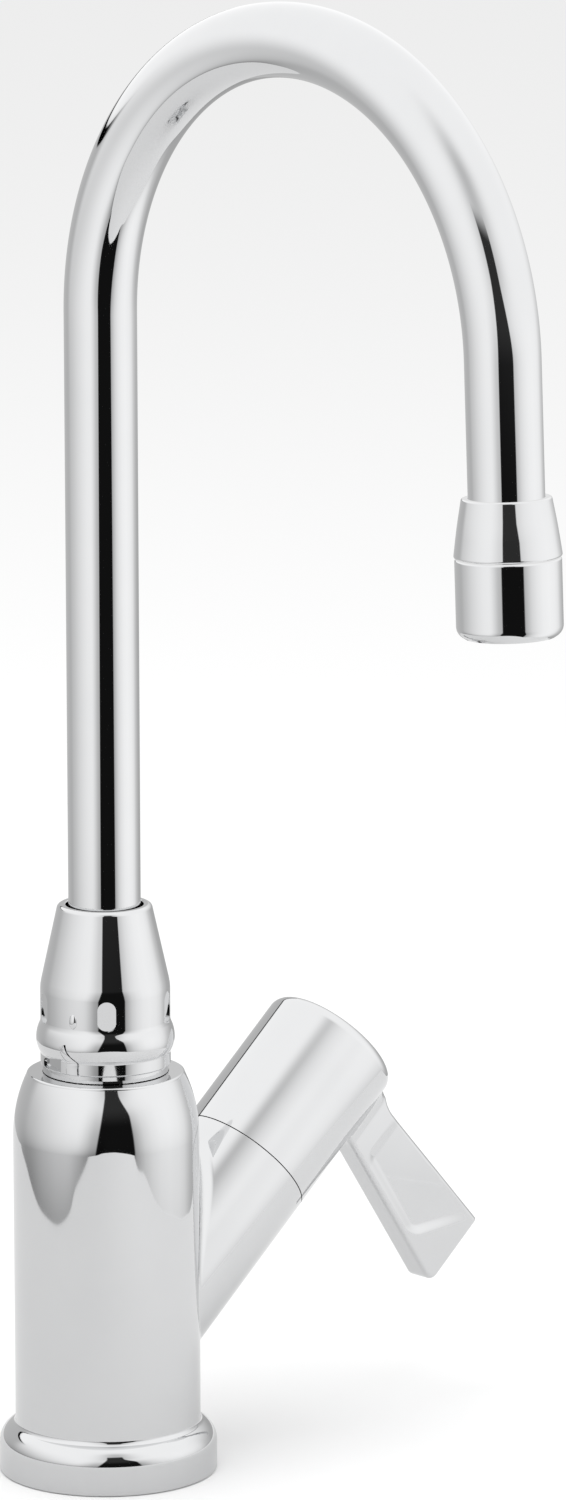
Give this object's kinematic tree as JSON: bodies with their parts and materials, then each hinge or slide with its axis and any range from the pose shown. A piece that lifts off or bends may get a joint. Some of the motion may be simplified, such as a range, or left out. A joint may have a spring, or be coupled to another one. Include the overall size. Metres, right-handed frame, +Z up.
{
  "type": "single-lever basin mixer",
  "caption": "Deck-mounted chrome basin mixer: swivelling gooseneck spout with aerator on an upright body, and a slanted side branch whose hub and blade lever turn to open and mix.",
  "frame": {"origin": "on the body's axis at the deck plane, the underside of the base flange", "axes": "+Z up along the body, -Y towards the user and along the spout at rest, +X along the handle branch's lean"},
  "size_m": [0.1596, 0.197, 0.4883],
  "materials": {
    "chrome": "polished chrome plate",
    "brass": "machined",
    "copper": "drawn tube",
    "steel": "stainless",
    "rubber": "moulded",
    "acetal": "moulded",
    "ceramic": "lapped",
    "regulator": "moulded"
  },
  "bodies": {
    "base": {"faucet_body": "chrome", "base_gasket": "rubber", "mounting_shank": "brass", "rubber_washer": "rubber", "steel_washer": "steel", "mounting_nut": "brass", "hot_supply_tube": "copper", "cold_supply_tube": "copper", "hot_supply_adapter": "brass", "cold_supply_adapter": "brass", "spout_nipple": "chrome", "spout_collar": "chrome", "collar_set_screw": "steel", "lower_thrust_washer": "acetal", "upper_bearing_ring": "acetal", "cartridge_housing": "acetal", "port_seals": "rubber", "fixed_disc": "ceramic", "cartridge_cap": "acetal", "retaining_nut": "brass", "glide_ring": "acetal"},
    "spout": {"spout_tube": "chrome", "spout_ferrule": "chrome", "spout_seals": "rubber", "outlet_adapter": "chrome", "aerator_housing": "chrome", "aerator_washer": "rubber", "flow_regulator": "regulator", "aerator_insert": "acetal", "aerator_screen": "steel"},
    "handle": {"moving_disc": "ceramic", "cartridge_stem": "brass", "stem_washer": "acetal", "stem_seal": "rubber", "limit_washer": "steel", "lever_handle": "chrome", "handle_screw": "steel", "index_cap": "chrome"}
  },
  "joints": [
    {"name": "spout_swivel", "type": "hinge", "parent": "base", "child": "spout", "pos_m": [0, 0, 0.115], "axis": [0, 0, 1], "continuous": true},
    {"name": "handle_turn", "type": "hinge", "parent": "base", "child": "handle", "pos_m": [0.0483, 0, 0.07539], "axis": [-0.7547, 0, -0.6561], "range_deg": [0, 105]}
  ]
}
